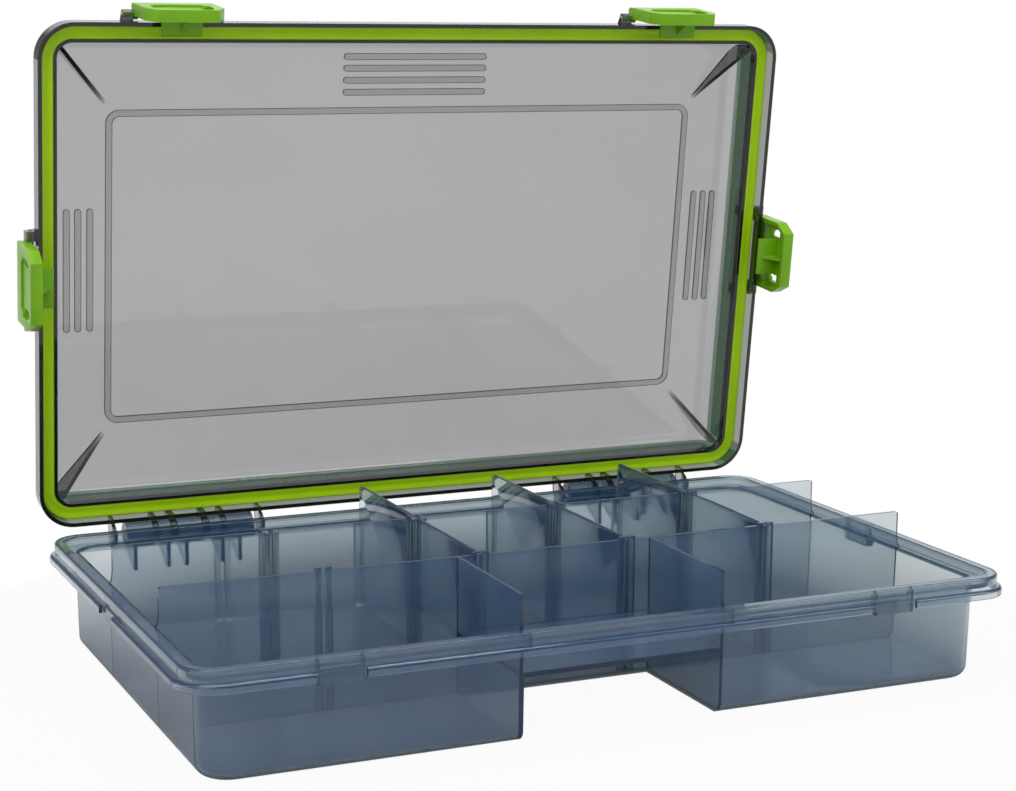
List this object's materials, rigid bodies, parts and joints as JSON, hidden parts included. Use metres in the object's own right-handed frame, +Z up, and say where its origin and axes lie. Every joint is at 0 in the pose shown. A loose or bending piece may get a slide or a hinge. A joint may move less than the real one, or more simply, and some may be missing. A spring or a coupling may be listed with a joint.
{
  "type": "tackle box",
  "caption": "Flat hinged box with a divided see-through tray, a clear lid with a seal all round, and snap latches.",
  "frame": {"origin": "middle of the tray's underside", "axes": "+X along the box, +Y to the hinges, +Z up"},
  "size_m": [0.375, 0.2498, 0.2796],
  "materials": {
    "smoke_plastic": "clear smoke blue-grey moulding",
    "clear_plastic": "clear light smoke moulding",
    "seal": "soft satin",
    "film": "clear film",
    "pin_steel": "drawn wire",
    "latch_plastic": "satin moulding"
  },
  "bodies": {
    "tray": {"base_tray": "smoke_plastic", "hinge_pin_left": "pin_steel", "hinge_pin_right": "pin_steel"},
    "lid": {"lid": "clear_plastic", "lid_gasket": "seal", "label_film": "film"},
    "latch_front_left": {"latch_front_left": "latch_plastic"},
    "latch_front_right": {"latch_front_right": "latch_plastic"},
    "latch_left": {"latch_left": "latch_plastic"},
    "latch_right": {"latch_right": "latch_plastic"},
    "divider_back_1": {"divider_back_1": "smoke_plastic"},
    "divider_back_2": {"divider_back_2": "smoke_plastic"},
    "divider_back_3": {"divider_back_3": "smoke_plastic"},
    "divider_middle_1": {"divider_middle_1": "smoke_plastic"},
    "divider_middle_2": {"divider_middle_2": "smoke_plastic"},
    "divider_middle_3": {"divider_middle_3": "smoke_plastic"}
  },
  "joints": [
    {"name": "lid_hinge", "type": "hinge", "parent": "tray", "child": "lid", "pos_m": [0, 0.1183, 0.042], "axis": [-1, 0, 0], "range_deg": [-83.5, 26.5]},
    {"name": "latch_front_left_pivot", "type": "hinge", "parent": "lid", "child": "latch_front_left", "pos_m": [-0.12, 0.09834, 0.27464], "axis": [-1, 0, 0], "range_deg": [0, 90]},
    {"name": "latch_front_right_pivot", "type": "hinge", "parent": "lid", "child": "latch_front_right", "pos_m": [0.12, 0.09834, 0.27464], "axis": [-1, 0, 0], "range_deg": [0, 90]},
    {"name": "latch_left_pivot", "type": "hinge", "parent": "lid", "child": "latch_left", "pos_m": [-0.1826, 0.11137, 0.16028], "axis": [0, 0.1132, -0.9936], "range_deg": [0, 90]},
    {"name": "latch_right_pivot", "type": "hinge", "parent": "lid", "child": "latch_right", "pos_m": [0.1826, 0.11137, 0.16028], "axis": [0, -0.1132, 0.9936], "range_deg": [0, 90]},
    {"name": "divider_back_1_lift", "type": "slide", "parent": "tray", "child": "divider_back_1", "axis": [0, 0, 1], "range_m": [0, 0.062]},
    {"name": "divider_back_2_lift", "type": "slide", "parent": "tray", "child": "divider_back_2", "axis": [0, 0, 1], "range_m": [0, 0.062]},
    {"name": "divider_back_3_lift", "type": "slide", "parent": "tray", "child": "divider_back_3", "axis": [0, 0, 1], "range_m": [0, 0.062]},
    {"name": "divider_middle_1_lift", "type": "slide", "parent": "tray", "child": "divider_middle_1", "axis": [0, 0, 1], "range_m": [0, 0.062]},
    {"name": "divider_middle_2_lift", "type": "slide", "parent": "tray", "child": "divider_middle_2", "axis": [0, 0, 1], "range_m": [0, 0.062]},
    {"name": "divider_middle_3_lift", "type": "slide", "parent": "tray", "child": "divider_middle_3", "axis": [0, 0, 1], "range_m": [0, 0.062]}
  ]
}
